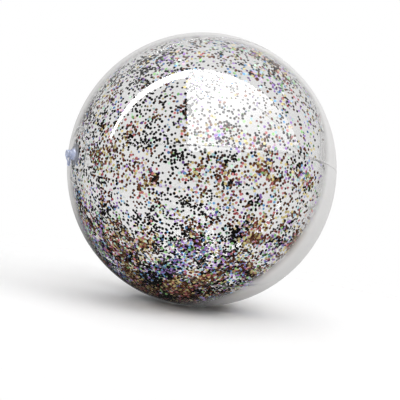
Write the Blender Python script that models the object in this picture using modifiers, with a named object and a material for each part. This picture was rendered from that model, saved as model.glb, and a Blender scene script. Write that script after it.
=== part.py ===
"""Clear inflatable beach ball with loose confetti inside and a push-in valve.

Metres, +Z up. The origin is the centre of the small flat patch that the ball rests on.
The panels run from pole to pole along X, and the valve is in the disc at the -X pole.
"""

import bmesh
import bpy
from math import asin, cos, pi, radians, sin
from mathutils import Vector

# Ball
EQUATOR_RADIUS = 0.200      # outer surface of the panels, where the ball is widest
POLE_RADIUS = 0.196         # the ball is a little shorter from pole to pole
FLAT_DEPTH = 0.001          # how far the ball's own weight flattens its lowest point
FILM = 0.0003               # vinyl film thickness
GAP = 0.0003                # clearance kept between separate pieces
GORE_COUNT = 6
FIRST_SEAM = radians(12)    # about X, from -Y (the front) up towards +Z
GORE_END_RADIUS = 0.036     # the panels stop here, under the end discs
DISC_RADIUS = 0.040
CENTRE = Vector((0, 0, EQUATOR_RADIUS - FLAT_DEPTH))

# Valve, measured along its axis outwards from the film at the -X pole
FILM_HOLE_RADIUS = 0.0093
FLANGE_INNER_RADIUS = 0.0090
FLANGE_OUTER_RADIUS = 0.0165
FLANGE_THICKNESS = 0.0010
STEM_MOUTH = 0.0085
STEM_INNER_END = -0.0050
STEM_MOUTH_RADIUS = 0.0053
STEM_BASE_RADIUS = 0.0062
STEM_LIP_RADIUS = 0.0056
STEM_LIP_HEIGHT = 0.0011
BORE_RADIUS = 0.0036
NECK_TOP = 0.0042
NECK_WALL = 0.0009
PLUG_HEAD_RADIUS = 0.0054
PLUG_HEAD_HEIGHT = 0.0027
PLUG_EDGE = 0.0005
PLUG_DEPTH = 0.0050
PLUG_NOSE_RADIUS = 0.0024
PLUG_ROOT_RADIUS = 0.0032
PLUG_HINGE_OFFSET = 0.0090  # below the valve's axis
PLUG_HINGE_HEIGHT = 0.0065  # outwards from the film
STRAP_WIDTH = 0.0052
STRAP_THICKNESS = 0.0011
STRAP_REACH = 0.0165        # how far the strap's loop hangs from the valve's axis
FLAP_RADIUS = 0.0046
FLAP_THICKNESS = 0.0007

# Confetti heap
HEAP_RADIUS = 0.085
HEAP_DEPTH = 0.0030
HEAP_CLEARANCE = 0.0020     # the panels' straight facets lie this far inside the true curve

COLLECTION = "beach_ball"


def clear_scene():
    for obj in list(bpy.data.objects):
        bpy.data.objects.remove(obj, do_unlink=True)


def make_material(name, colour, roughness, alpha=1.0):
    material = bpy.data.materials.new(name)
    material.use_nodes = True
    shader = material.node_tree.nodes["Principled BSDF"]
    shader.inputs["Base Color"].default_value = (*colour, 1.0)
    shader.inputs["Roughness"].default_value = roughness
    shader.inputs["Metallic"].default_value = 0.0
    shader.inputs["Alpha"].default_value = alpha
    return material


def add_object(name, mesh, material, collection, parent=None):
    obj = bpy.data.objects.new(name, mesh)
    mesh.materials.append(material)
    mesh.shade_smooth()
    mesh.set_sharp_from_angle(angle=radians(40))
    collection.objects.link(obj)
    obj.parent = parent
    return obj


def add_pivot(name, location, collection, parent=None):
    """An empty whose origin lies on a joint's axis."""
    pivot = bpy.data.objects.new(name, None)
    pivot.location = location
    collection.objects.link(pivot)
    pivot.parent = parent
    return pivot


def add_solidify(obj, thickness):
    """Thickens a surface to the side away from its normals."""
    solidify = obj.modifiers.new("wall", "SOLIDIFY")
    solidify.thickness = thickness
    solidify.offset = -1
    solidify.use_even_offset = True


def meridian(start, end, steps, offset=0.0):
    """Points (along X, away from X) on the ball's outline, by angle from the -X pole."""
    points = []
    for i in range(steps + 1):
        angle = start + (end - start) * i / steps
        along = -(POLE_RADIUS + offset) * cos(angle)
        away = (EQUATOR_RADIUS + offset) * sin(angle)
        points.append((along, away))
    return points


def spin_profile(points, start, angle, steps):
    """A surface swept about X through the ball's centre, with its normals outwards."""
    bm = bmesh.new()
    verts = []
    for along, away in points:
        place = Vector((along, -away * cos(start), away * sin(start))) + CENTRE
        verts.append(bm.verts.new(place))
    edges = [bm.edges.new(pair) for pair in zip(verts, verts[1:])]
    full_turn = abs(angle - 2 * pi) < 1e-6
    bmesh.ops.spin(
        bm,
        geom=verts + edges,
        cent=CENTRE,
        axis=(-1, 0, 0),
        angle=angle,
        steps=steps,
        use_merge=full_turn,
    )
    bmesh.ops.remove_doubles(bm, verts=bm.verts, dist=1e-6)
    face_outwards(bm)
    return bm


def face_outwards(bm):
    bmesh.ops.recalc_face_normals(bm, faces=bm.faces)
    bm.faces.ensure_lookup_table()
    face = bm.faces[0]
    if face.normal.dot(face.calc_center_median() - CENTRE) < 0:
        bmesh.ops.reverse_faces(bm, faces=bm.faces)


def flatten_bottom(bm):
    """Cuts the ball's lowest cap off at the ground and closes it with a flat face."""
    everything = list(bm.verts) + list(bm.edges) + list(bm.faces)
    cut = bmesh.ops.bisect_plane(
        bm, geom=everything, plane_co=(0, 0, 0), plane_no=(0, 0, -1), clear_outer=True
    )
    rim = [item for item in cut["geom_cut"] if isinstance(item, bmesh.types.BMEdge)]
    bmesh.ops.holes_fill(bm, edges=rim, sides=0)
    face_outwards(bm)


def mesh_from(bm, name):
    mesh = bpy.data.meshes.new(name)
    bm.to_mesh(mesh)
    bm.free()
    return mesh


def make_gores(material, collection):
    """Film panels from pole to pole. The one that the ball rests on has a finer mesh."""
    pitch = 2 * pi / GORE_COUNT
    gap_angle = GAP / EQUATOR_RADIUS
    end_angle = asin(GORE_END_RADIUS / EQUATOR_RADIUS)
    straight_down = 3 * pi / 2
    for i in range(GORE_COUNT):
        start = FIRST_SEAM + i * pitch
        is_lowest = start < straight_down < start + pitch
        along_steps, across_steps = (32, 12) if is_lowest else (18, 6)
        outline = meridian(end_angle, pi - end_angle, along_steps)
        bm = spin_profile(
            outline, start + gap_angle / 2, pitch - gap_angle, across_steps
        )
        if is_lowest:
            flatten_bottom(bm)
        name = f"gore_{i + 1}"
        gore = add_object(name, mesh_from(bm, name), material, collection)
        add_solidify(gore, FILM)


def make_end_disc(name, side, hole_radius, material, collection):
    """A round film disc welded over the panels' ends. side is -1 at the valve, 1 at the far pole."""
    outer = EQUATOR_RADIUS + GAP + FILM
    first = asin(hole_radius / outer)
    last = asin(DISC_RADIUS / outer)
    outline = meridian(first, last, 4, offset=GAP + FILM)
    if side > 0:
        outline = [(-along, away) for along, away in outline]
    bm = spin_profile(outline, 0.0, 2 * pi, 36)
    disc = add_object(name, mesh_from(bm, name), material, collection)
    add_solidify(disc, FILM)


def turn(name, outline, material, collection, parent, closed, segments=28):
    """A piece turned about its parent's Z. Outline points are (radius, height)."""
    points = [(radius, 0, height) for radius, height in outline]
    edges = [(i, i + 1) for i in range(len(points) - 1)]
    if closed:
        edges.append((len(points) - 1, 0))
    mesh = bpy.data.meshes.new(name)
    mesh.from_pydata(points, edges, [])
    obj = add_object(name, mesh, material, collection, parent)
    screw = obj.modifiers.new("turn", "SCREW")
    screw.steps = segments
    screw.render_steps = segments
    screw.use_merge_vertices = True
    screw.merge_threshold = 0.00001
    screw.use_smooth_shade = True
    return obj


def film_sag(radius):
    """How far the film at the pole has curved inwards at this radius."""
    curvature_radius = EQUATOR_RADIUS ** 2 / POLE_RADIUS
    return radius ** 2 / (2 * curvature_radius)


def make_flange(material, collection, parent):
    """The valve's base ring, which is welded under the end disc and follows its curve."""
    steps = 3
    top = []
    for i in range(steps + 1):
        radius = FLANGE_INNER_RADIUS
        radius += (FLANGE_OUTER_RADIUS - FLANGE_INNER_RADIUS) * i / steps
        top.append((radius, -FILM - GAP - film_sag(radius)))
    underside = [(radius, height - FLANGE_THICKNESS) for radius, height in reversed(top)]
    turn("valve_flange", top + underside, material, collection, parent, closed=True)


def make_neck(material, collection, parent):
    """The thin flexible cone between the flange and the stem, which rolls inwards."""
    base = -FILM - GAP - film_sag(FLANGE_INNER_RADIUS)
    base_outer = FLANGE_INNER_RADIUS - GAP
    top_inner = stem_radius(NECK_TOP) + GAP
    outline = [
        (top_inner, NECK_TOP),
        (top_inner + NECK_WALL, NECK_TOP),
        (base_outer, base),
        (base_outer, base - FLANGE_THICKNESS),
        (base_outer - NECK_WALL, base - FLANGE_THICKNESS),
    ]
    turn("valve_neck", outline, material, collection, parent, closed=True)


def stem_radius(height):
    """The stem narrows evenly from its base to its mouth."""
    share = min(max(height / STEM_MOUTH, 0.0), 1.0)
    return STEM_BASE_RADIUS + (STEM_MOUTH_RADIUS - STEM_BASE_RADIUS) * share


def make_stem(material, collection, parent):
    lip_base = STEM_MOUTH - STEM_LIP_HEIGHT
    outline = [
        (BORE_RADIUS, STEM_MOUTH),
        (STEM_LIP_RADIUS, STEM_MOUTH),
        (STEM_LIP_RADIUS, lip_base),
        (stem_radius(lip_base), lip_base - (STEM_LIP_RADIUS - stem_radius(lip_base))),
        (STEM_BASE_RADIUS, 0.0),
        (STEM_BASE_RADIUS, STEM_INNER_END),
        (BORE_RADIUS, STEM_INNER_END),
    ]
    turn("valve_stem", outline, material, collection, parent, closed=True)


def make_plug(material, collection, pivot):
    """A push-in stopper: a round head outside the mouth and a tapered nose in the bore."""
    underside = STEM_MOUTH + GAP
    top = underside + PLUG_HEAD_HEIGHT
    outline = [
        (0.0, top),
        (PLUG_HEAD_RADIUS - PLUG_EDGE, top),
        (PLUG_HEAD_RADIUS, top - PLUG_EDGE),
        (PLUG_HEAD_RADIUS, underside),
        (PLUG_ROOT_RADIUS, underside),
        (PLUG_NOSE_RADIUS, STEM_MOUTH - PLUG_DEPTH),
        (0.0, STEM_MOUTH - PLUG_DEPTH),
    ]
    plug = turn("valve_plug", outline, material, collection, pivot, closed=False)
    plug.location = -pivot.location


def strap_path():
    """Points (x, z) of the strap's loop, from the stem's side round to the plug's head."""
    root = Vector((-(stem_radius(PLUG_HINGE_HEIGHT) + GAP), PLUG_HINGE_HEIGHT - 0.0012))
    head_height = STEM_MOUTH + GAP + PLUG_HEAD_HEIGHT / 2
    head = Vector((-(PLUG_HEAD_RADIUS + GAP), head_height))
    reach = Vector((-STRAP_REACH, (root.y + head.y) / 2))
    bend = (head.y - root.y) / 2
    turn_centre = reach + Vector((bend, 0))
    steps = 8
    path = [root]
    for i in range(steps + 1):
        angle = -pi / 2 - pi * i / steps
        path.append(turn_centre + Vector((bend * cos(angle), bend * sin(angle))))
    path.append(head)
    return path


def make_strap(material, collection, parent):
    """A flat band that keeps the plug on the stem, hanging in a loop below the valve."""
    bm = bmesh.new()
    verts = [bm.verts.new((p.x, -STRAP_WIDTH / 2, p.y)) for p in strap_path()]
    edges = [bm.edges.new(pair) for pair in zip(verts, verts[1:])]
    swept = bmesh.ops.extrude_edge_only(bm, edges=edges)
    far_side = [v for v in swept["geom"] if isinstance(v, bmesh.types.BMVert)]
    bmesh.ops.translate(bm, verts=far_side, vec=(0, STRAP_WIDTH, 0))
    strap = add_object(
        "plug_strap", mesh_from(bm, "plug_strap"), material, collection, parent
    )
    solidify = strap.modifiers.new("wall", "SOLIDIFY")
    solidify.thickness = STRAP_THICKNESS
    solidify.offset = 0
    solidify.use_even_offset = True


def make_check_flap(material, collection, pivot):
    """A thin disc that closes the stem's inner end, hung from its upper edge."""
    top = STEM_INNER_END - GAP
    outline = [
        (0.0, top),
        (FLAP_RADIUS, top),
        (FLAP_RADIUS, top - FLAP_THICKNESS),
        (0.0, top - FLAP_THICKNESS),
    ]
    flap = turn("check_flap", outline, material, collection, pivot, closed=False)
    flap.location = -pivot.location


def make_heap(material, collection):
    """The loose confetti that lies on the bottom, as one dished heap."""
    inner = EQUATOR_RADIUS - FILM - HEAP_CLEARANCE
    edge_angle = asin(HEAP_RADIUS / inner)
    steps = 7
    underside = []
    for i in range(steps + 1):
        angle = edge_angle * i / steps
        underside.append((inner * sin(angle), CENTRE.z - inner * cos(angle)))
    floor = underside[0][1]
    edge_radius, edge_height = underside[-1]
    top_centre = floor + HEAP_DEPTH
    top = []
    for i in range(steps):
        share = i / steps
        radius = edge_radius * share
        top.append((radius, top_centre + (edge_height - top_centre) * share ** 2))
    outline = top + list(reversed(underside))
    turn("confetti_heap", outline, material, collection, None, closed=False, segments=32)


def main():
    clear_scene()
    collection = bpy.data.collections.new(COLLECTION)
    bpy.context.scene.collection.children.link(collection)

    film = make_material("film", (0.86, 0.87, 0.88), 0.06, alpha=0.25)
    vinyl = make_material("valve_vinyl", (0.60, 0.66, 0.84), 0.25, alpha=0.75)
    foil = make_material("confetti_foil", (0.10, 0.08, 0.07), 0.35)

    make_gores(film, collection)
    make_end_disc("end_disc_valve", -1, FILM_HOLE_RADIUS, film, collection)
    make_end_disc("end_disc_far", 1, 0.0, film, collection)

    valve_place = CENTRE - Vector((POLE_RADIUS + GAP + FILM, 0, 0))
    valve_base = add_pivot("valve_base", valve_place, collection)
    valve_base.rotation_euler = (0, -pi / 2, 0)   # its Z points outwards, its X up
    make_flange(vinyl, collection, valve_base)
    make_neck(vinyl, collection, valve_base)

    valve_slide = add_pivot("valve_slide", (0, 0, 0), collection, valve_base)
    make_stem(vinyl, collection, valve_slide)
    make_strap(vinyl, collection, valve_slide)

    plug_place = (-PLUG_HINGE_OFFSET, 0, PLUG_HINGE_HEIGHT)
    plug_pivot = add_pivot("plug_pivot", plug_place, collection, valve_slide)
    make_plug(vinyl, collection, plug_pivot)

    flap_place = (FLAP_RADIUS + GAP, 0, STEM_INNER_END - GAP - FLAP_THICKNESS / 2)
    flap_pivot = add_pivot("flap_pivot", flap_place, collection, valve_slide)
    make_check_flap(vinyl, collection, flap_pivot)

    make_heap(foil, collection)


main()
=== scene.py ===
import random
from math import asin, atan2, cos, exp, pi, radians, sin, sqrt

import bmesh
import bpy
from mathutils import Matrix, Vector, noise


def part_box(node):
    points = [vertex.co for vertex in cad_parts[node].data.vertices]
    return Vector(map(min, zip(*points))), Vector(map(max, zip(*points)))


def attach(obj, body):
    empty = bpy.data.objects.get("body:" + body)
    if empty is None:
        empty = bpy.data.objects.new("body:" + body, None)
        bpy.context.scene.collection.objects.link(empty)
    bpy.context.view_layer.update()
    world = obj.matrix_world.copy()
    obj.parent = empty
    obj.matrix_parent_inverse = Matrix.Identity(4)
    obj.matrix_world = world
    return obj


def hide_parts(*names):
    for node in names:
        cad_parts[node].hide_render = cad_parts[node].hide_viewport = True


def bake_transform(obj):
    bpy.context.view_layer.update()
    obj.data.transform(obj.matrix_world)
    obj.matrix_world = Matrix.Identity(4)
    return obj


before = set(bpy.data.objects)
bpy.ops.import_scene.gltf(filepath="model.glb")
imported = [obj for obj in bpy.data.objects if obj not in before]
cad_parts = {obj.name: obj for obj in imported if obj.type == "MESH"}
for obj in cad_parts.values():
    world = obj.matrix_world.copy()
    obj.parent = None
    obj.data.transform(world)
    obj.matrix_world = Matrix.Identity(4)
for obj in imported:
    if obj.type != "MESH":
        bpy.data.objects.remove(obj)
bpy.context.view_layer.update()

# Clear beach ball with loose foil confetti. X is the axis from pole to pole, the valve is at -X,
# and the ball stands on the ground at z = 0.

discLow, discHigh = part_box("end_disc_valve")
farLow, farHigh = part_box("end_disc_far")
stemLow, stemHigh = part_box("valve_stem")
flangeLow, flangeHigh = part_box("valve_flange")
plugLow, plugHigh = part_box("valve_plug")
flapLow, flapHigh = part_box("check_flap")
strapLow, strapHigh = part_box("plug_strap")
heapLow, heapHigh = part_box("confetti_heap")

ball = {
    "centre": Vector((0, 0, (stemLow.z + stemHigh.z) / 2)),
    "equator": 0.2,  # outer radius where the ball is widest
    "pole": 0.196,  # outer radius towards the two poles
    "film": 0.0003,  # film thickness
    "gores": 6,
    "firstSeam": radians(12),  # about X, from the front (-Y) upwards
}


def newMesh(name, bm, smooth=True):
    mesh = bpy.data.meshes.new(name)
    bm.to_mesh(mesh)
    bm.free()
    if smooth:
        mesh.shade_smooth()
    obj = bpy.data.objects.new(name, mesh)
    bpy.context.scene.collection.objects.link(obj)
    return obj


def addMaterial(obj, material):
    obj.data.materials.clear()
    obj.data.materials.append(material)


def place(obj, body, slotName, *nodes):
    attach(obj, body)
    if nodes:
        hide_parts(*nodes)


# helpers for node trees, and the grain that both vinyls share

def node(tree, kind, where=(0, 0), **values):
    made = tree.nodes.new(kind)
    made.location = where
    for key, value in values.items():
        setattr(made, key, value)
    return made


def feed(tree, socket, term):
    # a term is another node's output or a plain value
    if isinstance(term, bpy.types.NodeSocket):
        tree.links.new(term, socket)
    else:
        socket.default_value = term


def mapRange(tree, where, value, fromMin=0.0, fromMax=1.0, toMin=0.0, toMax=1.0, smooth=False):
    made = node(tree, "ShaderNodeMapRange", where)
    if smooth:
        made.interpolation_type = "SMOOTHSTEP"
    terms = {"Value": value, "From Min": fromMin, "From Max": fromMax, "To Min": toMin, "To Max": toMax}
    for label, term in terms.items():
        feed(tree, made.inputs[label], term)
    return made.outputs["Result"]


def arithmetic(tree, where, operation, *terms, clamp=False):
    made = node(tree, "ShaderNodeMath", where, operation=operation, use_clamp=clamp)
    for socket, term in zip(made.inputs, terms):
        feed(tree, socket, term)
    return made.outputs[0]


def dotProduct(tree, where, *terms):
    made = node(tree, "ShaderNodeVectorMath", where, operation="DOT_PRODUCT")
    for socket, term in zip(made.inputs, terms):
        feed(tree, socket, term)
    return made.outputs["Value"]


def mixColours(tree, where, factor, first, second):
    made = node(tree, "ShaderNodeMix", where, data_type="RGBA")
    for index, term in ((0, factor), (6, first), (7, second)):
        feed(tree, made.inputs[index], term)
    return made.outputs[2]


def mixShaders(tree, where, factor, first, second):
    made = node(tree, "ShaderNodeMixShader", where)
    for socket, term in zip(made.inputs, (factor, first, second)):
        tree.links.new(term, socket)
    return made.outputs[0]


def principled(name):
    material = bpy.data.materials.new(name)
    material.use_nodes = True
    tree = material.node_tree
    return material, tree, tree.nodes["Principled BSDF"]


def vinylGrainGroup():
    group = bpy.data.node_groups.new("vinylGrain", "ShaderNodeTree")
    for label, low in (("Scale", 40.0), ("Strength", 0.2)):
        socket = group.interface.new_socket(name=label, in_out="INPUT", socket_type="NodeSocketFloat")
        socket.default_value = low
    group.interface.new_socket(name="Mask", in_out="OUTPUT", socket_type="NodeSocketFloat")
    group.interface.new_socket(name="Normal", in_out="OUTPUT", socket_type="NodeSocketVector")
    start = node(group, "NodeGroupInput", (-700, 0))
    end = node(group, "NodeGroupOutput", (400, 0))
    coords = node(group, "ShaderNodeTexCoord", (-700, -250))
    soft = node(group, "ShaderNodeTexNoise", (-400, 0))
    soft.inputs["Detail"].default_value = 3.0
    bump = node(group, "ShaderNodeBump", (100, -150))
    bump.inputs["Distance"].default_value = 0.001
    group.links.new(coords.outputs["Object"], soft.inputs["Vector"])
    group.links.new(start.outputs["Scale"], soft.inputs["Scale"])
    group.links.new(start.outputs["Strength"], bump.inputs["Strength"])
    group.links.new(soft.outputs["Fac"], bump.inputs["Height"])
    group.links.new(soft.outputs["Fac"], end.inputs["Mask"])
    group.links.new(bump.outputs["Normal"], end.inputs["Normal"])
    return group


vinylGrain = vinylGrainGroup()


def grain(tree, where, scale, strength):
    made = node(tree, "ShaderNodeGroup", where)
    made.node_tree = vinylGrain
    made.inputs["Scale"].default_value = scale
    made.inputs["Strength"].default_value = strength
    return made


# materials

filmLook = {
    "tint": (0.902, 0.900, 0.898, 1),  # light let through by one layer, face on
    "edgeTint": (0.89, 0.89, 0.885, 1),  # and at a glancing angle
    "edgeBlend": 0.30,
    "edgePower": 2.0,
    "gloss": (0.97, 0.97, 0.98, 1),
    "index": 1.5,  # of refraction
    "shine": 1.7,  # both faces of the film reflect, so more than one face would
    "innerShine": 0.5,  # the inside is dulled by foil dust
    "faceStep": 0.01,  # how sharply inside and outside are told apart
    "rippleScale": 26.0,
    "rippleDepth": 0.06,
    "rough": 0.045,
    "weldRough": 0.10,
    "milk": (0.70, 0.695, 0.69, 1),
    "haze": 0.004,
    "hazeRange": (0.5, 1.5),  # thinnest and thickest haze, as shares of the usual
    "weldHaze": 0.03,
    "rimStart": 0.64,  # how far round the side the milky rim begins and ends
    "rimEnd": 0.86,
    "rim": 0.86,
    "cloudySide": (0.76, -0.36, -0.45),  # the film is cloudier towards this side
    "cloudyFrom": 0.30,  # from here to there, as shares of the radius
    "cloudyTo": 0.90,
    "cloudyBy": 0.25,
    "clearBelow": 0.17,  # no milky rim where the heap lies against the film
    "clearFrom": 0.25,  # share of that height where the rim starts to show
}


def clearFilm():
    look = filmLook
    material = bpy.data.materials.new("clearFilm")
    material.use_nodes = True
    tree = material.node_tree
    tree.nodes.clear()
    link = tree.links.new
    out = node(tree, "ShaderNodeOutputMaterial", (1000, 0))
    geometry = node(tree, "ShaderNodeNewGeometry", (500, 300))
    weld = node(tree, "ShaderNodeAttribute", (-800, -400), attribute_name="weld").outputs["Fac"]
    ripple = grain(tree, (-800, -100), look["rippleScale"], look["rippleDepth"])
    coords = node(tree, "ShaderNodeTexCoord", (-1400, 0)).outputs["Object"]
    centred = node(tree, "ShaderNodeMapping", (-1200, 0))
    centred.inputs["Location"].default_value = -ball["centre"]
    link(coords, centred.inputs["Vector"])

    facing = node(tree, "ShaderNodeLayerWeight", (-800, 300))
    facing.inputs["Blend"].default_value = look["edgeBlend"]
    glance = arithmetic(tree, (-600, 300), "POWER", facing.outputs["Facing"], look["edgePower"])
    clear = node(tree, "ShaderNodeBsdfTransparent", (-100, 300))
    link(mixColours(tree, (-400, 300), glance, look["tint"], look["edgeTint"]), clear.inputs["Color"])

    gloss = node(tree, "ShaderNodeBsdfGlossy", (-100, 50))
    gloss.inputs["Color"].default_value = look["gloss"]
    rough = mapRange(tree, (-400, 0), weld, toMin=look["rough"], toMax=look["weldRough"])
    link(rough, gloss.inputs["Roughness"])
    link(ripple.outputs["Normal"], gloss.inputs["Normal"])
    mirror = node(tree, "ShaderNodeFresnel", (-400, 550))
    mirror.inputs["IOR"].default_value = look["index"]
    link(ripple.outputs["Normal"], mirror.inputs["Normal"])
    # a face whose normal points away from the ball's middle is on the outside
    outward = dotProduct(tree, (-1000, 800), centred.outputs["Vector"], geometry.outputs["Normal"])
    step = look["faceStep"]
    outside = mapRange(tree, (-800, 800), outward, -step, step, look["innerShine"], look["shine"])
    both = arithmetic(tree, (-200, 550), "MULTIPLY", mirror.outputs[0], outside, clamp=True)
    shiny = mixShaders(tree, (200, 200), both, clear.outputs[0], gloss.outputs[0])

    cloud = node(tree, "ShaderNodeBsdfDiffuse", (200, -100))
    cloud.inputs["Color"].default_value = look["milk"]
    thinnest, thickest = [look["haze"] * share for share in look["hazeRange"]]
    uneven = mapRange(tree, (-400, -350), ripple.outputs["Mask"], toMin=thinnest, toMax=thickest)
    welded = arithmetic(tree, (-200, -350), "MULTIPLY_ADD", weld, look["weldHaze"], uneven, clamp=True)
    side = node(tree, "ShaderNodeLayerWeight", (-400, -600))
    towards = dotProduct(tree, (-1000, -700), centred.outputs["Vector"], look["cloudySide"])
    start, end = ball["equator"] * look["cloudyFrom"], ball["equator"] * look["cloudyTo"]
    cloudy = mapRange(tree, (-800, -700), towards, start, end, toMax=look["cloudyBy"], smooth=True)
    wider = arithmetic(tree, (-350, -600), "ADD", side.outputs["Facing"], cloudy)
    rim = mapRange(
        tree, (-200, -600), wider, look["rimStart"], look["rimEnd"], toMax=look["rim"], smooth=True,
    )
    height = node(tree, "ShaderNodeSeparateXYZ", (-1000, -950))
    link(coords, height.inputs[0])
    start = look["clearBelow"] * look["clearFrom"]
    above = mapRange(tree, (-800, -950), height.outputs["Z"], start, look["clearBelow"], smooth=True)
    # where the film is cloudy the rim shows at any height
    allowed = arithmetic(
        tree, (-400, -850), "MULTIPLY_ADD", cloudy, 1 / look["cloudyBy"], above, clamp=True,
    )
    edge = arithmetic(tree, (-100, -700), "MULTIPLY", rim, allowed)
    haze = arithmetic(tree, (0, -350), "MAXIMUM", welded, edge)
    hazy = mixShaders(tree, (500, 50), haze, shiny, cloud.outputs[0])

    # each wall is seen once: its inner side lets everything through
    through = node(tree, "ShaderNodeBsdfTransparent", (500, -200))
    oneSide = mixShaders(tree, (800, 0), geometry.outputs["Backfacing"], hazy, through.outputs[0])
    link(oneSide, out.inputs["Surface"])
    return material


vinylLook = {
    "speckScale": 900.0,
    "speckDepth": 0.12,
    "mottle": (0.86, 1.08),  # darkest and palest speck, as shares of the colour
    "rough": (0.22, 0.38),
    "index": 1.5,
    # colour of the shadow painted on the foot of the stem, where it meets the film
    "footColour": (0.035, 0.04, 0.09, 1),
    "footShadowStrength": 0.85,
    "footFrom": 0.0012,  # heights above the film where the painted shadow on the foot starts
    "footTo": 0.0002,  # and is at its darkest
}


def softVinyl(name, colour, transmission, dark=False):
    look = vinylLook
    material, tree, shader = principled(name)
    link = tree.links.new
    speck = grain(tree, (-700, 0), look["speckScale"], look["speckDepth"])
    darkest, palest = [(*[min(channel * share, 1) for channel in colour], 1) for share in look["mottle"]]
    shade = mixColours(tree, (-350, 150), speck.outputs["Mask"], darkest, palest)
    if dark:
        # painted shadow: the foot of the stem is darkened where it goes through the film, for the shade at
        # that joint
        coords = node(tree, "ShaderNodeTexCoord", (-1000, 450))
        split = node(tree, "ShaderNodeSeparateXYZ", (-800, 450))
        link(coords.outputs["Object"], split.inputs[0])
        start, end = discLow.x - look["footFrom"], discLow.x - look["footTo"]
        foot = mapRange(
            tree, (-550, 450), split.outputs["X"], start, end, toMax=look["footShadowStrength"], smooth=True,
        )
        shade = mixColours(tree, (-150, 350), foot, shade, look["footColour"])
    link(shade, shader.inputs["Base Color"])
    smoothest, roughest = look["rough"]
    rough = mapRange(tree, (-350, -100), speck.outputs["Mask"], toMin=smoothest, toMax=roughest)
    link(rough, shader.inputs["Roughness"])
    link(speck.outputs["Normal"], shader.inputs["Normal"])
    shader.inputs["IOR"].default_value = look["index"]
    shader.inputs["Transmission Weight"].default_value = transmission
    return material


foilLook = {
    "sheenScale": 420.0,
    "sheen": 0.35,  # how much the sheen shifts a flake between dark and bright
    "roughRange": (0.7, 1.4),  # as shares of the foil's own roughness
    "specular": 0.06,
    "mixed": (0.1, 0.4),  # metallic and roughness of pieces with every colour in them
    "mixedBright": 0.3,  # how far their colours are from dark towards bright
}


def foil(name, dark, bright, metallic, roughness):
    look = foilLook
    material, tree, shader = principled(name)
    link = tree.links.new
    flake = node(tree, "ShaderNodeAttribute", (-900, 100), attribute_name="shade").outputs["Fac"]
    coords = node(tree, "ShaderNodeTexCoord", (-900, -150))
    sheen = node(tree, "ShaderNodeTexNoise", (-700, -150))
    sheen.inputs["Scale"].default_value = look["sheenScale"]
    link(coords.outputs["Object"], sheen.inputs["Vector"])
    gleam = sheen.outputs["Fac"]
    blend = arithmetic(tree, (-500, 0), "MULTIPLY_ADD", gleam, look["sheen"], flake, clamp=True)
    link(mixColours(tree, (-300, 100), blend, (*dark, 1), (*bright, 1)), shader.inputs["Base Color"])
    smoothest, roughest = [roughness * share for share in look["roughRange"]]
    rough = mapRange(tree, (-300, -200), gleam, toMin=smoothest, toMax=roughest)
    link(rough, shader.inputs["Roughness"])
    shader.inputs["Metallic"].default_value = metallic
    shader.inputs["Specular IOR Level"].default_value = look["specular"]
    return material


# film panels

panel = {
    "alongSteps": 200,
    "acrossSteps": 80,
    "endRadius": 0.036,  # the panels stop here, under the end discs
    "lap": 0.0042,  # width of the welded lap beside each seam
    "lapRise": 0.00012,
    "lapWeld": 1.0,  # how much of the weld's haze the lap shows
    "underWeld": 0.6,  # and the strip of the next panel below it
    "sameAngle": 0.0005,
    "valley": 0.00020,  # how far the surface dips along a seam
    "valleyReach": 0.018,
    "pucker": 0.000198,  # height of the small wrinkles beside a seam
    "puckerReach": 0.011,
    "puckerLength": 0.0135,
    "puckerTurns": 3,  # how fast they change across the seam
    "puckerSeed": 7.3,
}


def outline(first, last, steps, lift=0.0):
    points = []
    for i in range(steps + 1):
        angle = first + (last - first) * i / steps
        points.append((-(ball["pole"] + lift) * cos(angle), (ball["equator"] + lift) * sin(angle)))
    return points


def sweep(points, start, angle, steps, closed=False):
    bm = bmesh.new()
    verts = [
        bm.verts.new(ball["centre"] + Vector((along, -away * cos(start), away * sin(start))))
        for along, away in points
    ]
    edges = [bm.edges.new(pair) for pair in zip(verts, verts[1:])]
    bmesh.ops.spin(
        bm, geom=verts + edges, cent=ball["centre"], axis=(-1, 0, 0),
        angle=angle, steps=steps, use_merge=closed,
    )
    bmesh.ops.remove_doubles(bm, verts=bm.verts, dist=1e-6)
    bmesh.ops.recalc_face_normals(bm, faces=bm.faces)
    bm.faces.ensure_lookup_table()
    face = bm.faces[0]
    if face.normal.dot(face.calc_center_median() - ball["centre"]) < 0:
        bmesh.ops.reverse_faces(bm, faces=bm.faces)
    return bm


def seamShape(angle, along, start):
    # distance from the nearer seam, in metres along the surface
    pitch = 2 * pi / ball["gores"]
    turn = (angle - start) % (2 * pi)
    toSeam = min(abs(turn), abs(turn - pitch)) * ball["equator"]
    dip = -panel["valley"] * exp(-(toSeam / panel["valleyReach"]) ** 2)
    spot = Vector((along / panel["puckerLength"], angle * panel["puckerTurns"], panel["puckerSeed"]))
    return dip + panel["pucker"] * noise.noise(spot) * exp(-(toSeam / panel["puckerReach"]) ** 2)


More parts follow.
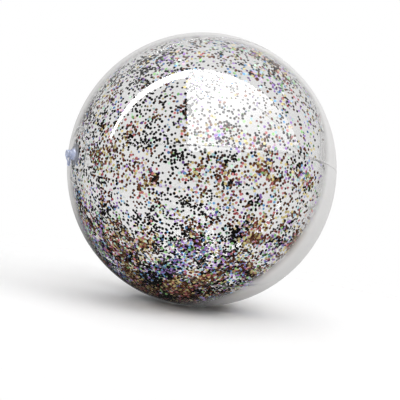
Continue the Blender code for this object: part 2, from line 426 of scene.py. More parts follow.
def filmPanel(index, material):
    pitch = 2 * pi / ball["gores"]
    start = ball["firstSeam"] + index * pitch
    endAngle = asin(panel["endRadius"] / ball["equator"])
    lapAngle = panel["lap"] / ball["equator"]
    bm = sweep(
        outline(endAngle, pi - endAngle, panel["alongSteps"]),
        start - lapAngle, pitch + lapAngle, panel["acrossSteps"],
    )
    weld = bm.verts.layers.float.new("weld")
    for vert in bm.verts:
        spot = vert.co - ball["centre"]
        angle = atan2(spot.z, -spot.y)
        turn = (angle - start + pi) % (2 * pi) - pi
        away = Vector((0, spot.y, spot.z)).normalized()
        across = sqrt(max(0.0, 1 - (spot.x / ball["pole"]) ** 2))
        lift = seamShape(angle, spot.x, start) * across
        if turn < panel["sameAngle"]:
            lift += panel["lapRise"]
            vert[weld] = panel["lapWeld"]
        elif turn > pitch - lapAngle:
            vert[weld] = panel["underWeld"]
        vert.co += away * lift
        vert.co.z = max(vert.co.z, 0.0)
    obj = newMesh(f"filmPanel{index + 1}", bm)
    wall = obj.modifiers.new("wall", "SOLIDIFY")
    wall.thickness = ball["film"]
    wall.offset = -1
    addMaterial(obj, material)
    place(obj, "ball", "film", f"gore_{index + 1}")
    return obj


endDisc = {
    "rings": 26,
    "segments": 128,
    "lift": 0.0006,  # how far the discs stand outside the panels
    "hole": 0.0093,  # radius of the hole for the valve
    "tent": 0.0016,  # how far the film rises round the valve
    "tentReach": 0.012,
    "weldWidth": 0.0045,  # of the weld at the rim
    "holeWeldWidth": 0.0075,
    "holeWeld": 0.5,  # haze of the weld round the hole
    "ripple": 0.00035,
    "rippleSize": 90,
    "rippleSeed": 3.1,
}

# the film round the valve gives way when the valve is pushed in: depths below the pole where
# it would start to follow and where it would follow fully. Nothing here bends the film; the reach
# marks out the flakes round the valve, which are put in a piece of their own
dent = {"start": 0.0033, "end": 0.0007, "reach": 0.046, "flakesBelow": 0.0016}


def tentAt(radius):
    return endDisc["tent"] * exp(-((radius - endDisc["hole"]) / endDisc["tentReach"]) ** 2)


def followValve(obj, slotName, deeper, *nodes):
    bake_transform(obj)
    if nodes:
        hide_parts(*nodes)


def filmDisc(name, box, side, holeRadius, material):
    radius = (box[1].z - box[0].z) / 2
    lift = endDisc["lift"]
    outer = ball["equator"] + lift
    points = outline(asin(holeRadius / outer), asin(radius / outer), endDisc["rings"], lift)
    if side > 0:
        points = [(-along, away) for along, away in points]
    bm = sweep(points, 0.0, 2 * pi, endDisc["segments"], closed=True)
    weld = bm.verts.layers.float.new("weld")
    for vert in bm.verts:
        spot = vert.co - ball["centre"]
        away = sqrt(spot.y ** 2 + spot.z ** 2)
        if away > radius - endDisc["weldWidth"]:
            vert[weld] = 1.0
        size = endDisc["rippleSize"]
        ripple = noise.noise(Vector((spot.y * size, spot.z * size, side * endDisc["rippleSeed"])))
        vert.co.x += side * endDisc["ripple"] * ripple * (away / radius) ** 2
        if holeRadius > 0:
            vert.co.x += side * tentAt(away)
            if away < holeRadius + endDisc["holeWeldWidth"]:
                vert[weld] = endDisc["holeWeld"]
    obj = newMesh(name, bm)
    wall = obj.modifiers.new("wall", "SOLIDIFY")
    wall.thickness = ball["film"]
    wall.offset = -1
    addMaterial(obj, material)
    return obj


film = clearFilm()
for index in range(ball["gores"]):
    filmPanel(index, film)
valveDisc = filmDisc("endDiscValve", (discLow, discHigh), -1, endDisc["hole"], film)
followValve(valveDisc, "film", 0, "end_disc_valve")
farDisc = filmDisc("endDiscFar", (farLow, farHigh), 1, 0.0, film)
place(farDisc, "ball", "film", "end_disc_far")
print("film panels and end discs made")


# valve

# profile points are (radius, height above the film at the pole) unless a note says otherwise
valve = {
    "place": Vector((discLow.x, 0, ball["centre"].z)),
    "segments": 48,
    "colour": (0.68, 0.74, 0.94),  # plug, strap and flap
    "transmission": 0.35,
    "footColour": (0.60, 0.66, 0.86),  # stem and neck
    "footTransmission": 0.25,
    "baseColour": (0.80, 0.82, 0.88),  # flange
    "baseTransmission": 0.80,
    "flangeInner": 0.0090,
    "flangeSteps": 5,
    "flangeThick": 0.0009,
    "bore": 0.0036,
    # (radius, depth below the stem's mouth)
    "stemLip": [(0.0052, 0), (0.0056, 0.0003), (0.0056, 0.0009), (0.0052, 0.0013), (0.00545, 0.0035)],
    "stemFlare": (0.0058, 0.0036),
    "neckOutside": [(0.0062, 0.0046), (0.0069, 0.0047), (0.0074, 0.0036), (0.0079, 0.0026)],
    # (radius, height above the flange)
    "neckFoot": [(0.0084, 0.0004), (0.00875, 0), (0.00875, -0.0009), (0.0079, -0.0009), (0.0075, 0.0006)],
    "neckInside": [(0.0068, 0.0026), (0.0063, 0.0036)],
    "gap": 0.0003,  # between the stem's mouth and the plug's head
    "headEdge": 0.0005,
    "headRound": 0.0006,
    "headHollow": (0.0026, 0.0032),  # radii of the flat hollow in the head
    "shank": 0.0032,
    # (radius, depth below the stem's mouth)
    "bead": [(0.0031, 0.0014), (0.0034, 0.0019), (0.0031, 0.0024)],
    "nose": (0.0025, 0.0022),
    "flapStep": (0.0030, 0.0026),
    "chamfer": 0.0003,
    "bevels": {"flange": 0.0002, "neck": 0.00012, "stem": 0.00015, "plug": 0.00015, "flap": 0.00012},
}
toValve = Matrix.Translation(valve["place"]) @ Matrix.Rotation(-pi / 2, 4, "Y")


def turned(name, profile, closed, bevel):
    bm = bmesh.new()
    verts = [bm.verts.new((radius, 0, height)) for radius, height in profile]
    edges = [bm.edges.new(pair) for pair in zip(verts, verts[1:])]
    if closed:
        edges.append(bm.edges.new((verts[-1], verts[0])))
    bmesh.ops.spin(
        bm, geom=verts + edges, cent=(0, 0, 0), axis=(0, 0, 1),
        angle=2 * pi, steps=valve["segments"], use_merge=True,
    )
    bmesh.ops.remove_doubles(bm, verts=bm.verts, dist=1e-6)
    bmesh.ops.recalc_face_normals(bm, faces=bm.faces)
    sharp = [edge for edge in bm.edges if edge.is_manifold and edge.calc_face_angle() > radians(35)]
    bmesh.ops.bevel(
        bm, geom=sharp, offset=bevel, offset_type="OFFSET", segments=2,
        profile=0.5, affect="EDGES", material=-1, clamp_overlap=True,
    )
    bmesh.ops.transform(bm, matrix=toValve, verts=bm.verts)
    return newMesh(name, bm)


def fromPole(low, high):
    # heights above the film at the pole, outwards
    return valve["place"].x - high.x, valve["place"].x - low.x


def sag(radius):
    return radius ** 2 / (2 * ball["equator"] ** 2 / ball["pole"])


def buildFlange(material):
    inner, steps = valve["flangeInner"], valve["flangeSteps"]
    outer = (flangeHigh.z - flangeLow.z) / 2
    rings = [inner + (outer - inner) * i / steps for i in range(steps + 1)]
    top = [(ring, tentAt(ring) - endDisc["lift"] - sag(ring)) for ring in rings]
    under = [(ring, height - valve["flangeThick"]) for ring, height in reversed(top)]
    flange = turned("valveFlange", top + under, True, valve["bevels"]["flange"])
    addMaterial(flange, material)
    followValve(flange, "valve_vinyl", 0, "valve_flange")
    return top[0][1]


def buildNeck(base, material):
    foot = [(radius, base + height) for radius, height in valve["neckFoot"]]
    profile = valve["neckOutside"] + foot + valve["neckInside"]
    neck = turned("valveNeck", profile, True, valve["bevels"]["neck"])
    addMaterial(neck, material)
    followValve(neck, "valve_vinyl", 0, "valve_neck")


def buildStem(mouth, innerEnd, material):
    bore = valve["bore"]
    baseRadius = (stemHigh.z - stemLow.z) / 2
    lip = [(radius, mouth - depth) for radius, depth in valve["stemLip"]]
    foot = [valve["stemFlare"], (baseRadius, 0.0), (baseRadius, innerEnd), (bore, innerEnd)]
    stem = turned("valveStem", [(bore, mouth)] + lip + foot, True, valve["bevels"]["stem"])
    addMaterial(stem, material)
    place(stem, "valve", "valve_vinyl", "valve_stem")


def buildPlug(mouth, material):
    noseEnd, headTop = fromPole(plugLow, plugHigh)
    headRadius = (plugHigh.z - plugLow.z) / 2
    underside = mouth + valve["gap"]
    edge, chamfer = valve["headEdge"], valve["chamfer"]
    hollowFloor, hollowRim = valve["headHollow"]
    noseRadius, tipRadius = valve["nose"]
    head = [
        (0, headTop - edge), (hollowFloor, headTop - edge), (hollowRim, headTop),
        (headRadius - edge, headTop), (headRadius, headTop - valve["headRound"]),
        (headRadius, underside + chamfer), (headRadius - chamfer, underside),
    ]
    shank = [(valve["shank"], underside)] + [(radius, mouth - depth) for radius, depth in valve["bead"]]
    nose = [(noseRadius, noseEnd + chamfer), (tipRadius, noseEnd), (0, noseEnd)]
    plug = turned("valvePlug", head + shank + nose, False, valve["bevels"]["plug"])
    addMaterial(plug, material)
    place(plug, "plug", "valve_vinyl", "valve_plug")


def buildFlap(material):
    flapEnd, flapTop = fromPole(flapLow, flapHigh)
    flapRadius = (flapHigh.z - flapLow.z) / 2
    stepOuter, stepInner = valve["flapStep"]
    stepEnd = flapEnd - valve["chamfer"]
    flap = turned("checkFlap", [
        (0, flapTop), (flapRadius, flapTop), (flapRadius, flapEnd),
        (stepOuter, flapEnd), (stepInner, stepEnd), (0, stepEnd),
    ], False, valve["bevels"]["flap"])
    addMaterial(flap, material)
    place(flap, "flap", "valve_vinyl", "check_flap")


def buildValve():
    vinyl = softVinyl("valveVinyl", valve["colour"], valve["transmission"])
    # stem and neck, with a shadow painted at their foot
    footVinyl = softVinyl("valveFootVinyl", valve["footColour"], valve["footTransmission"], dark=True)
    baseVinyl = softVinyl("valveBaseVinyl", valve["baseColour"], valve["baseTransmission"])
    innerEnd, mouth = fromPole(stemLow, stemHigh)
    neckBase = buildFlange(baseVinyl)
    buildNeck(neckBase, footVinyl)
    buildStem(mouth, innerEnd, footVinyl)
    buildPlug(mouth, vinyl)
    buildFlap(vinyl)
    buildStrap(vinyl)


strap = {
    "width": 0.0052,
    "thick": 0.0010,
    "waist": 0.78,  # width half way along, as a share of the ends'
    "bend": 0.0011,  # radius of the loop where the strap turns back
    "turn": radians(155),
    "steps": 10,
    "root": (0.0059, 0.0080, 0.0110),  # distances from the valve's axis
    "slant": [(0.0105, 0.0080), (0.0085, 0.0091)],  # (distance from the axis, height)
    "tip": [(0.0070, 0.0003), (0.0055, 0)],  # (distance from the axis, depth under the head)
    "crossCuts": 3,
    "crossLength": 0.003,  # longer edges than this run across the strap
    "bevel": 0.00025,
}


def buildStrap(vinyl):
    # a flat tongue that leaves the stem's side, turns back in a loop and slants up to the plug's head
    reach = ball["centre"].z - strapLow.z
    low, high = fromPole(strapLow, strapHigh)
    rootHeight, headHeight = low + strap["thick"] / 2, high - strap["thick"] / 2
    bend = strap["bend"]
    turnAt = -(reach - bend - strap["thick"] / 2)
    path = [Vector((-away, 0, rootHeight)) for away in strap["root"]]
    for i in range(strap["steps"] + 1):
        angle = -pi / 2 - strap["turn"] * i / strap["steps"]
        path.append(Vector((turnAt + bend * cos(angle), 0, rootHeight + bend + bend * sin(angle))))
    path += [Vector((-away, 0, height)) for away, height in strap["slant"]]
    path += [Vector((-away, 0, headHeight - depth)) for away, depth in strap["tip"]]
    bm = bmesh.new()
    verts = []
    for i, spot in enumerate(path):
        share = abs(2 * i / (len(path) - 1) - 1)
        half = strap["width"] / 2 * (strap["waist"] + (1 - strap["waist"]) * share ** 2)
        aside = Vector((0, half, 0))
        verts.append((bm.verts.new(spot - aside), bm.verts.new(spot + aside)))
    for (a, b), (c, d) in zip(verts, verts[1:]):
        bm.faces.new((a, b, d, c))
    crossing = [
        edge for edge in bm.edges
        if abs(edge.verts[0].co.y - edge.verts[1].co.y) > strap["crossLength"]
    ]
    bmesh.ops.subdivide_edges(bm, edges=crossing, cuts=strap["crossCuts"])
    bmesh.ops.recalc_face_normals(bm, faces=bm.faces)
    bmesh.ops.transform(bm, matrix=toValve, verts=bm.verts)
    obj = newMesh("plugStrap", bm)
    wall = obj.modifiers.new("wall", "SOLIDIFY")
    wall.thickness = strap["thick"]
    wall.offset = 0
    edge = obj.modifiers.new("edge", "BEVEL")
    edge.width = strap["bevel"]
    edge.segments = 2
    edge.limit_method = "ANGLE"
    addMaterial(obj, vinyl)
    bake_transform(obj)
    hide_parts("plug_strap")


buildValve()
print("valve made")


# confetti

confetti = {
    "seed": 41,
    "radius": 0.0020,
    "thick": 0.00006,
    "sides": 8,
    "tries": 42000,  # spots tried on the wall
    "gap": 0.0037,  # between the middles of two neighbours
    "gapFrom": 1.45,  # the gap shrinks from its full size as more of the wall is covered
    "gapFall": 0.75,
    "gapLeast": 0.35,
    "stray": 0.01,  # how far flakes of one try land apart, as a share of the radius
    "behindFilm": 0.0004,
    "layer": 0.0012,  # thickness of the layer of flakes
    "layerAtValve": 4,  # times thinner where the film dents
    "clearOfValve": 0.0135,
    "lowest": 0.0004,  # flakes and film lie flat where the ball rests on the floor
    "most": 6500,  # flakes in one piece
    "lean": radians(7),
    "sizes": (0.92, 1.08),
    # how much of the wall is covered, by height from -1 at the bottom to 1 at the top
    "cover": [(-1.0, 2.2), (-0.82, 1.25), (-0.66, 0.86), (-0.50, 0.70), (-0.38, 0.46), (-0.24, 0.19),
              (-0.12, 0.26), (0.10, 0.24), (0.22, 0.19), (0.50, 0.20), (0.70, 0.23), (1.0, 0.22)],
    "coverGain": 1.2,
    "unevenness": (1.2, 1.7, 1.4),  # of broad, middling and small drifts
    "driftScales": (4.2, 9.0, 21.0),
    "driftSeed": Vector((5, 2, 8)),
    "clumpSight": 0.5,  # clumps farther off than this cosine aren't counted
    # clumps: turn from the front in degrees, height, reach in degrees, extra cover, liveliness, warmth
    "clumps": [
        (-66, 0.02, 11, 0.35, 0.3, 0.4), (-44, -0.07, 11, 0.22, 0.3, 0.1),
        (-24, -0.05, 9, 0.25, 0.2, 0.3), (-8, -0.02, 12, 0.50, 0.5, 0.4),
        (14, -0.01, 12, 0.28, 0.5, 0.4), (33, -0.38, 13, 0.32, 0.6, 0.45),
        (20, -0.62, 13, 0.15, 0.6, 0.1), (45, -0.20, 12, 0.22, 0.3, 0.3),
        (-82, -0.66, 15, 0.95, 0.1, -0.05), (-42, -0.46, 9, 0.20, 0.1, 0.0),
        (-62, -0.87, 14, 1.90, -0.05, 0.5), (-6, -0.24, 10, 0.32, 0.1, 0.2),
        (5, -0.22, 9, 0.42, 0.3, 0.4), (4, 0.72, 10, 0.25, 0.2, 0.1),
        (-74, 0.38, 12, 0.20, -0.2, 0.2), (-79, -0.08, 13, 0.25, 0.0, 0.1),
        (-25, -0.93, 17, 0.70, -0.05, 0.5), (-100, 0.05, 26, 0.22, -0.1, 0.1),
        (-15, -0.43, 9, -0.12, 0.2, 0.1), (7, -0.69, 11, -0.32, 0.2, 0.1),
        (-18, -0.74, 9, -0.25, 0.2, 0.1), (-40, 0.37, 14, 0.14, -0.4, 0.0),
        (-89, 0.38, 16, 0.22, -0.2, 0.2), (-72, 0.72, 15, 0.04, -0.1, 0.0),
        (-25, 0.86, 14, 0.10, 0.3, 0.0), (18, 0.84, 14, 0.26, 0.1, 0.2),
        (32, 0.60, 13, 0.06, 0.0, 0.0), (-40, -0.32, 12, -0.10, -0.2, 0.0),
        (45, 0.15, 24, -0.22, 0.0, 0.0), (78, 0.10, 27, -0.20, 0.0, 0.0),
        (5, 0.50, 16, -0.05, 0.3, 0.0), (-12, 0.58, 17, -0.11, 0.1, 0.0),
        (-54, -0.63, 8, 0.30, 0.0, 0.0), (-22, -0.44, 7, 0.30, -0.1, 0.1),
        (-18, 0.17, 7, 0.20, 0.5, 0.2), (-66, 0.22, 9, -0.12, 0.1, 0.1),
    ],
}

# name: share, dark and bright ends of the colour, metallic, roughness
foils = {
    "black": (0.58, (0.0006, 0.0005, 0.0005), (0.006, 0.005, 0.004), 0.0, 0.5),
    "brown": (0.105, (0.02, 0.006, 0.003), (0.21, 0.075, 0.035), 0.1, 0.4),
    "gold": (0.042, (0.22, 0.16, 0.04), (0.95, 0.80, 0.36), 0.1, 0.35),
    "red": (0.02, (0.30, 0.03, 0.03), (0.78, 0.26, 0.27), 0.1, 0.35),
    "violet": (0.055, (0.05, 0.012, 0.14), (0.60, 0.34, 0.90), 0.1, 0.35),
    "blue": (0.03, (0.012, 0.03, 0.20), (0.24, 0.55, 0.95), 0.1, 0.35),
    "green": (0.025, (0.02, 0.12, 0.03), (0.45, 0.90, 0.34), 0.1, 0.35),
    "pearl": (0.18, (0.80, 0.80, 0.80), (1.0, 1.0, 1.0), 0.1, 0.3),
}
pearlHues = [(1.0, 0.90, 0.38), (1.0, 0.66, 0.74), (0.74, 0.60, 1.0),
             (0.52, 0.84, 1.0), (0.66, 1.0, 0.70), (1, 1, 1)]

# lively spots have less black, and warm ones more brown, gold and red
colourDrift = {
    "livelyScale": 6.5,
    "livelySeed": Vector((8.1, 4.4, 2.6)),
    "warmScale": 5.0,
    "warmSeed": Vector((3.7, 1.1, 9.2)),
    "lively": 3.0,
    "warm": 3.5,
    "pearlLively": 1.2,
    "pearlMiddle": 1.9,  # pearl thins out below the middle, down to its least share
    "pearlRise": 2.2,
    "pearlLeast": 0.12,
}

heap = {
    "flakes": 2600,
    "shares": {"black": 0.50, "brown": 0.26, "gold": 0.06, "red": 0.08,
               "violet": 0.05, "green": 0.02, "blue": 0.03},
    "spread": 0.95,  # share of the stand-in's radius
    "inside": 0.0024,  # how far in from the ball's outer surface
    "lowest": 0.0025,
    "lift": 0.0006,
    "rise": 0.0045,  # height in the middle
    "riseReach": 0.09,
    "lean": 0.35,
}


def coverAt(height):
    table = confetti["cover"]
    for (low, lowCover), (high, highCover) in zip(table, table[1:]):
        if height <= high:
            return lowCover + (highCover - lowCover) * (height - low) / (high - low)
    return table[-1][1]


def clumpCentres():
    centres = []
    for turn, height, reach, *effect in confetti["clumps"]:
        flat = sqrt(1 - height ** 2)
        spot = Vector((flat * sin(radians(turn)), -flat * cos(radians(turn)), height))
        centres.append((spot, radians(reach), effect))
    return centres


def randomDirection(rng):
    height = rng.uniform(-1, 1)
    turn = rng.uniform(0, 2 * pi)
    flat = sqrt(1 - height ** 2)
    return Vector((flat * cos(turn), flat * sin(turn), height))


def wallMatrix(direction, depth, rng):
    pole, equator = ball["pole"] - depth, ball["equator"] - depth
    spot = Vector((direction.x * pole, direction.y * equator, direction.z * equator))
    normal = Vector((direction.x / pole, direction.y / equator, direction.z / equator)).normalized()
    turn = normal.to_track_quat("Z", "Y").to_matrix().to_4x4()
    lean = Matrix.Rotation(rng.gauss(0, confetti["lean"]), 4, "X")
    lean = lean @ Matrix.Rotation(rng.gauss(0, confetti["lean"]), 4, "Y")
    spot += ball["centre"]
    spot.z = max(spot.z, depth + confetti["lowest"])
    return Matrix.Translation(spot) @ turn @ lean @ Matrix.Scale(rng.uniform(*confetti["sizes"]), 4)


def pickFoil(rng, direction, lively, warm):
    drift = colourDrift
    lively += noise.noise(direction * drift["livelyScale"] + drift["livelySeed"])
    warm += noise.noise(direction * drift["warmScale"] + drift["warmSeed"])
    weights = []
    for name, (share, *_) in foils.items():
        if name == "black":
            boost = exp(-drift["lively"] * lively)
        elif name in ("brown", "gold", "red"):
            boost = exp(drift["warm"] * warm + drift["lively"] * lively)
        elif name in ("violet", "blue", "green"):
            boost = exp(drift["lively"] * lively - drift["warm"] * warm)
        else:
            height = drift["pearlMiddle"] + drift["pearlRise"] * direction.z
            boost = min(1.0, max(drift["pearlLeast"], height)) * exp(drift["pearlLively"] * lively)
        weights.append(share * boost)
    return rng.choices(list(foils), weights)[0]


def crowded(spot, gap, taken):
    # flakes cling flat to the film, so they mostly lie side by side
    cell = confetti["gap"]
    home = [int(value // cell) for value in spot]
    for across in (-1, 0, 1):
        for along in (-1, 0, 1):
            for up in (-1, 0, 1):
                for other in taken.get((home[0] + across, home[1] + along, home[2] + up), ()):
                    if (other - spot).length < gap:
                        return True
    taken.setdefault(tuple(home), []).append(spot)
    return False


def awayFromValve(direction):
    # how far from the valve's axis on the valve's side of the ball
    if direction.x > 0:
        return ball["equator"]
    return sqrt(direction.y ** 2 + direction.z ** 2) * ball["equator"]


def wallCover(direction, centres):
    # how much of the wall is covered here, and how lively and warm the foil is
    cover = coverAt(direction.z)
    lively = warm = 0.0
    for centre, reach, (extra, livelier, warmer) in centres:
        cosine = direction.dot(centre)
        if cosine > confetti["clumpSight"]:
            near = exp(-2 * (1 - cosine) / reach ** 2)
            cover += extra * near
            lively += livelier * near
            warm += warmer * near
    drift = 0.0
    for strength, scale in zip(confetti["unevenness"], confetti["driftScales"]):
        drift += strength * noise.noise(direction * scale + confetti["driftSeed"])
    return cover * (exp(drift) * confetti["coverGain"]), lively, warm


def scatterWall(rng):
    places = {name: [] for name in foils}
    places["valveSide"] = []
    centres = clumpCentres()
    nearest = ball["film"] + confetti["behindFilm"]
    taken = {}
    for _ in range(confetti["tries"]):
        direction = randomDirection(rng)
        cover, lively, warm = wallCover(direction, centres)
        for _ in range(int(cover + rng.random())):
            depth = nearest + rng.random() * confetti["layer"]
            beside = Vector((rng.gauss(0, 1), rng.gauss(0, 1), rng.gauss(0, 1))) * confetti["stray"]
            spot = (direction + beside).normalized()
            tight = max(confetti["gapLeast"], confetti["gapFrom"] - confetti["gapFall"] * cover)
            gap = confetti["gap"] * min(1.0, tight)
            away = awayFromValve(spot)
            if away < confetti["clearOfValve"] or crowded(spot * ball["equator"], gap, taken):
                continue
            colour = pickFoil(rng, direction, lively, warm)
            if away < dent["reach"]:
                colour = "valveSide"
                depth = nearest + (depth - nearest) / confetti["layerAtValve"]
            places[colour].append(wallMatrix(spot, depth, rng))
    return places


def scatterHeap(rng):
    places = []
    for _ in range(heap["flakes"]):
        away = (heapHigh.x - heapLow.x) / 2 * sqrt(rng.random()) * heap["spread"]
        turn = rng.uniform(0, 2 * pi)
        floor = ball["centre"].z - sqrt((ball["equator"] - heap["inside"]) ** 2 - away ** 2)
        rise = rng.random() * heap["rise"] * (1 - (away / heap["riseReach"]) ** 2) + heap["lift"]
        spot = Vector((away * cos(turn), away * sin(turn), max(floor, heap["lowest"]) + rise))
        lean = Matrix.Rotation(rng.uniform(0, pi), 4, "Z")
        lean = lean @ Matrix.Rotation(rng.gauss(0, heap["lean"]), 4, "X")
        places.append(Matrix.Translation(spot) @ lean)
    return places


def oneFlake():
    bm = bmesh.new()
    bmesh.ops.create_cone(
        bm, cap_ends=True, segments=confetti["sides"], radius1=confetti["radius"],
        radius2=confetti["radius"], depth=confetti["thick"],
    )
    corners = [vert.co.copy() for vert in bm.verts]
    faces = [[vert.index for vert in face.verts] for face in bm.faces]
    bm.free()
    return corners, faces


def flakePiece(name, places, material):
    rng = random.Random(name)
    corners, faces = oneFlake()
    allCorners = [matrix @ corner for matrix in places for corner in corners]
    allFaces = [
        [index + flakeNumber * len(corners) for index in face]
        for flakeNumber in range(len(places)) for face in faces
    ]
    mesh = bpy.data.meshes.new(name)
    mesh.from_pydata(allCorners, [], allFaces)
    obj = bpy.data.objects.new(name, mesh)
    bpy.context.scene.collection.objects.link(obj)
    shade = mesh.attributes.new("shade", "FLOAT", "FACE")
    values = []
    for _ in places:
        values += [rng.random()] * len(faces)
    shade.data.foreach_set("value", values)
    addMaterial(obj, material)
    print(name, len(places), "flakes")
    return obj


def hueRamp(material, where):
    # every flake keeps its own hue, picked from a ramp by its own number
    tree = material.node_tree
    flake = node(tree, "ShaderNodeAttribute", where, attribute_name="shade")
    ramp = node(tree, "ShaderNodeValToRGB", (where[0] + 300, where[1]))
    tree.links.new(flake.outputs["Fac"], ramp.inputs["Fac"])
    tree.links.new(ramp.outputs["Color"], tree.nodes["Principled BSDF"].inputs["Base Color"])
    return ramp.color_ramp


def addStop(ramp, position, colour):
    stop = ramp.elements[0] if position == 0 else ramp.elements.new(position)
    stop.color = (*colour, 1)


def pearlFoil():
    material = foil("pearlFoil", (0, 0, 0), (0, 0, 0), *foils["pearl"][3:])
    ramp = hueRamp(material, (-900, 500))
    # the last hue sits just below 1, where the ramp's own last stop is taken away
    for i, colour in enumerate(pearlHues):
        addStop(ramp, i / (len(pearlHues) - 0.99), colour)
    ramp.elements.remove(ramp.elements[-1])
    return material


def mixedFoil(name, shares):
    material = foil(name, (0, 0, 0), (0, 0, 0), *foilLook["mixed"])
    ramp = hueRamp(material, (-700, 500))
    ramp.interpolation = "CONSTANT"
    towardsBright = foilLook["mixedBright"]
    total = 0.0
    for colour, share in shares.items():
        dark, bright = foils[colour][1:3]
        middle = [(1 - towardsBright) * a + towardsBright * b for a, b in zip(dark, bright)]
        addStop(ramp, min(total, 1), middle)
        total += share
    ramp.elements.remove(ramp.elements[-1])
    return material


flakeRng = random.Random(confetti["seed"])
wallPlaces = scatterWall(flakeRng)
for foilName, (share, dark, bright, metallic, roughness) in foils.items():
    if foilName == "pearl":
        foilMaterial = pearlFoil()
    else:
        foilMaterial = foil(f"{foilName}Foil", dark, bright, metallic, roughness)
    count = len(wallPlaces[foilName])
    lots = -(-count // confetti["most"])
    for lot in range(lots):
        name = f"{foilName}Flakes" if lots == 1 else f"{foilName}Flakes{lot + 1}"
        wallFlakes = flakePiece(name, wallPlaces[foilName][lot::lots], foilMaterial)
        place(wallFlakes, "ball", "confetti_foil")
wallShares = {name: settings[0] for name, settings in foils.items()}
valveSideFoil = mixedFoil("valveSideFoil", wallShares)
valveSideFlakes = flakePiece("valveSideFlakes", wallPlaces["valveSide"], valveSideFoil)
followValve(valveSideFlakes, "confetti_foil", dent["flakesBelow"])
heapFlakes = flakePiece("heapFlakes", scatterHeap(flakeRng), mixedFoil("heapFoil", heap["shares"]))
place(heapFlakes, "ball", "confetti_foil", "confetti_heap")


# camera, floor and light

camera = {
    "azimuth": -25.5,  # degrees from the front
    "elevation": 1.0,
    "roll": 7.5,
    "lens": 85.0,
    "distance": 1.393,
    "aimDrop": 0.0442,  # how far below and beside the ball's middle the camera aims
    "aimSide": 0.0036,
    "clipEnd": 60,
}


def buildCamera():
    azimuth, elevation = radians(camera["azimuth"]), radians(camera["elevation"])
    back = Vector((sin(azimuth) * cos(elevation), -cos(azimuth) * cos(elevation), sin(elevation)))
    data = bpy.data.cameras.new("camera")
    data.lens = camera["lens"]
    data.clip_end = camera["clipEnd"]
    obj = bpy.data.objects.new("camera", data)
    bpy.context.scene.collection.objects.link(obj)
    obj.location = ball["centre"] + back * camera["distance"]
    across = Vector((cos(azimuth), sin(azimuth), 0))
    aim = ball["centre"] - Vector((0, 0, camera["aimDrop"])) + across * camera["aimSide"] - obj.location
    turn = aim.to_track_quat("-Z", "Y").to_matrix().to_4x4()
    obj.rotation_euler = (turn @ Matrix.Rotation(radians(camera["roll"]), 4, "Z")).to_euler()
    bpy.context.scene.camera = obj
    return obj


view = buildCamera()
bpy.context.view_layer.update()
# right, up and towards the camera, for placing the studio's cards
side = view.matrix_world.to_3x3()


def cardPoint(x, y, z, distance):
    return ball["centre"] + side @ (Vector((x, y, z)) * distance)


def card(name, corners, strength, fade=None):
    # a glowing card that only shows in reflections; fade is (direction, from, to, end strength)
    bm = bmesh.new()
    bm.faces.new([bm.verts.new(corner) for corner in corners])
    obj = newMesh(name, bm, smooth=False)
    material = bpy.data.materials.new(name)
    material.use_nodes = True
    tree = material.node_tree
    tree.nodes.clear()
    out = node(tree, "ShaderNodeOutputMaterial", (600, 0))
    glow = node(tree, "ShaderNodeEmission", (300, 0))
    glow.inputs["Strength"].default_value = strength
    tree.links.new(glow.outputs[0], out.inputs["Surface"])
    if fade:
        direction, start, end, endStrength = fade
        coords = node(tree, "ShaderNodeTexCoord", (-600, 0))
        across = dotProduct(tree, (-400, 0), coords.outputs["Object"], direction)
        ramp = mapRange(tree, (-100, 0), across, start, end, strength, endStrength, smooth=True)
        tree.links.new(ramp, glow.inputs["Strength"])
    addMaterial(obj, material)
    obj.visible_camera = False
    obj.visible_diffuse = False
    obj.visible_shadow = False
    obj.visible_transmission = False
    return obj


# cards' corners are directions from the ball: right, up and towards the camera
studio = {
    "cards": 12.0,  # distance of the cards
    "window": [(-0.15, 0.99, 0.05), (0.40, 0.91, 0.125), (0.97, 0.24, 0.03),
               (0.71, 0.20, 0.667), (-0.19, 0.23, 0.95)],
    "windowGlow": 9.0,
    "windowEnd": 2.2,  # glow at the window's dimmer end
    "windowFade": (0.45, -0.9, 0),
    "fadeFrom": 0.75,
    "fadeTo": 0.1,
    "strip": [(-0.945, 0.321, 0.05), (-0.15, 0.985, 0.06), (-0.15, 0.96, 0.19), (-0.946, 0.306, 0.08)],
    "stripGlow": 14.0,
    "around": 0.80,  # light of the room on the ball
    "dark": 0.02,  # and in reflections, in front and below
    "behind": 0.50,  # and behind and above
    "paleSide": (0.35, 0.62, 0.70),
    "paleFrom": 0.3,
    "paleTo": 0.9,
    "bounces": 32,  # enough to see through every layer of film and foil
    # place, size, power
    "lights": {
        "keyLight": ((0.9, -1.3, 1.6), 1.2, 16),
        "fillLight": ((-1.6, -0.9, 1.0), 1.4, 8),
        "backLight": ((0.2, 1.8, 1.4), 1.6, 10),
    },
}


def buildCards():
    # the window, high on the right, and a narrow gap of light beside it
    far = studio["cards"]
    fadeWay = side @ Vector(studio["windowFade"])
    fade = (fadeWay, -far * studio["fadeFrom"], -far * studio["fadeTo"], studio["windowEnd"])
    window = [cardPoint(*corner, far) for corner in studio["window"]]
    card("windowCard", window, studio["windowGlow"], fade)
    strip = [cardPoint(*corner, far) for corner in studio["strip"]]
    card("stripCard", strip, studio["stripGlow"])


floorLook = {
    "radius": 2.0,
    "segments": 96,
    "colour": (0.93, 0.93, 0.93, 1),
    "rough": 0.8,
    "specular": 0.1,
    "fadeFrom": 0.15,  # distances from the middle between which the floor melts away
    "fadeTo": 0.75,
}


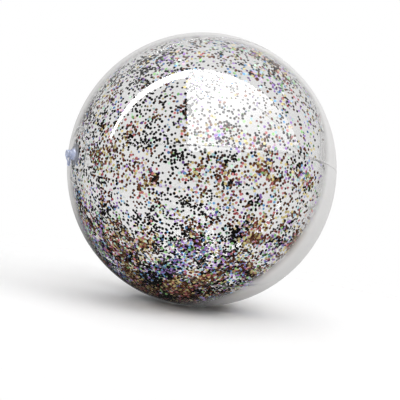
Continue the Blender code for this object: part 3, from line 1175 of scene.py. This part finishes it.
def buildFloor():
    # a pale disc that melts into the backdrop
    look = floorLook
    bm = bmesh.new()
    bmesh.ops.create_circle(bm, cap_ends=True, segments=look["segments"], radius=look["radius"])
    obj = newMesh("floor", bm, smooth=False)
    material, tree, shader = principled("paleFloor")
    shader.inputs["Base Color"].default_value = look["colour"]
    shader.inputs["Roughness"].default_value = look["rough"]
    shader.inputs["Specular IOR Level"].default_value = look["specular"]
    coords = node(tree, "ShaderNodeTexCoord", (-900, -200))
    away = node(tree, "ShaderNodeVectorMath", (-700, -200), operation="LENGTH")
    tree.links.new(coords.outputs["Object"], away.inputs[0])
    fade = mapRange(
        tree, (-400, -200), away.outputs["Value"], look["fadeFrom"], look["fadeTo"], 1.0, 0.0, smooth=True,
    )
    tree.links.new(fade, shader.inputs["Alpha"])
    addMaterial(obj, material)
    obj.visible_glossy = False


def areaLight(name, spot, aim, size, power):
    data = bpy.data.lights.new(name, "AREA")
    data.shape = "SQUARE"
    data.size = size
    data.energy = power
    obj = bpy.data.objects.new(name, data)
    bpy.context.scene.collection.objects.link(obj)
    obj.location = spot
    obj.rotation_euler = (aim - spot).to_track_quat("-Z", "Y").to_euler()
    obj.visible_glossy = False
    return obj


def background(tree, where, strength):
    made = node(tree, "ShaderNodeBackground", where)
    made.inputs["Color"].default_value = (1, 1, 1, 1)
    feed(tree, made.inputs["Strength"], strength)
    return made.outputs[0]


def buildWorld():
    world = bpy.data.worlds.new("studioWorld")
    bpy.context.scene.world = world
    world.use_nodes = True
    tree = world.node_tree
    tree.nodes.clear()
    link = tree.links.new
    out = node(tree, "ShaderNodeOutputWorld", (800, 0))
    path = node(tree, "ShaderNodeLightPath", (-300, 300))
    # in reflections the room is dark in front and below, and paler behind and above
    coords = node(tree, "ShaderNodeTexCoord", (-900, -100))
    lean = dotProduct(tree, (-700, -100), coords.outputs["Generated"], studio["paleSide"])
    depth = mapRange(
        tree, (-500, -100), lean, studio["paleFrom"], studio["paleTo"],
        studio["dark"], studio["behind"], smooth=True,
    )
    room = background(tree, (100, -300), depth)
    around = background(tree, (100, -100), studio["around"])
    seen = background(tree, (100, 100), 1.0)
    unlit = mixShaders(tree, (350, -200), path.outputs["Is Glossy Ray"], around, room)
    link(mixShaders(tree, (600, 0), path.outputs["Is Camera Ray"], unlit, seen), out.inputs["Surface"])


buildFloor()
buildCards()
buildWorld()
for lightName, (spot, size, power) in studio["lights"].items():
    areaLight(lightName, Vector(spot), ball["centre"], size, power)

scene = bpy.context.scene
scene.view_settings.view_transform = "Standard"
scene.cycles.transparent_max_bounces = studio["bounces"]
print("camera, floor and light made")
